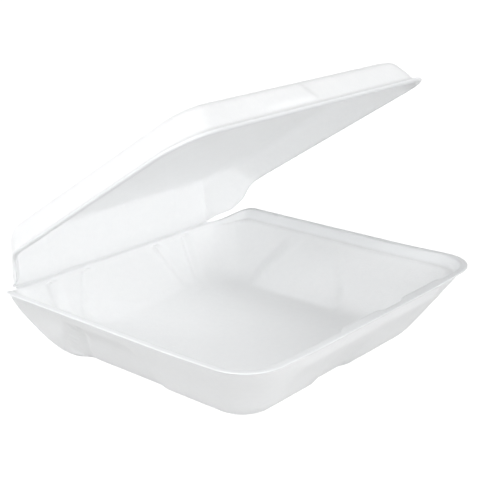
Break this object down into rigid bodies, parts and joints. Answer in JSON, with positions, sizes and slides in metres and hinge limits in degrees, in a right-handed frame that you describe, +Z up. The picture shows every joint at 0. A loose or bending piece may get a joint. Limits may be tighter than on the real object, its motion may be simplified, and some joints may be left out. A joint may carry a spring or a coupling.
{
  "type": "foam hinged lid container",
  "caption": "White foam take-out container: a deep square tray with fluted, panelled sloping walls and a shallow lid that folds open on a pressed crease at the back.",
  "frame": {"origin": "middle of the tray's underside, midway between the two sides and between the crease and the front of the rim", "axes": "+Z up, +Y towards the crease at the back, +X to the right along the crease when seen from the front"},
  "size_m": [0.203, 0.1957, 0.1529],
  "materials": {
    "foam": "matte"
  },
  "bodies": {
    "tray": {"base_tray": "foam"},
    "lid": {"lid": "foam"}
  },
  "joints": [
    {"name": "lid_hinge", "type": "hinge", "parent": "tray", "child": "lid", "pos_m": [0, 0.0955, 0.032], "axis": [-1, 0, 0], "range_deg": [-32.5, 147.5]}
  ]
}
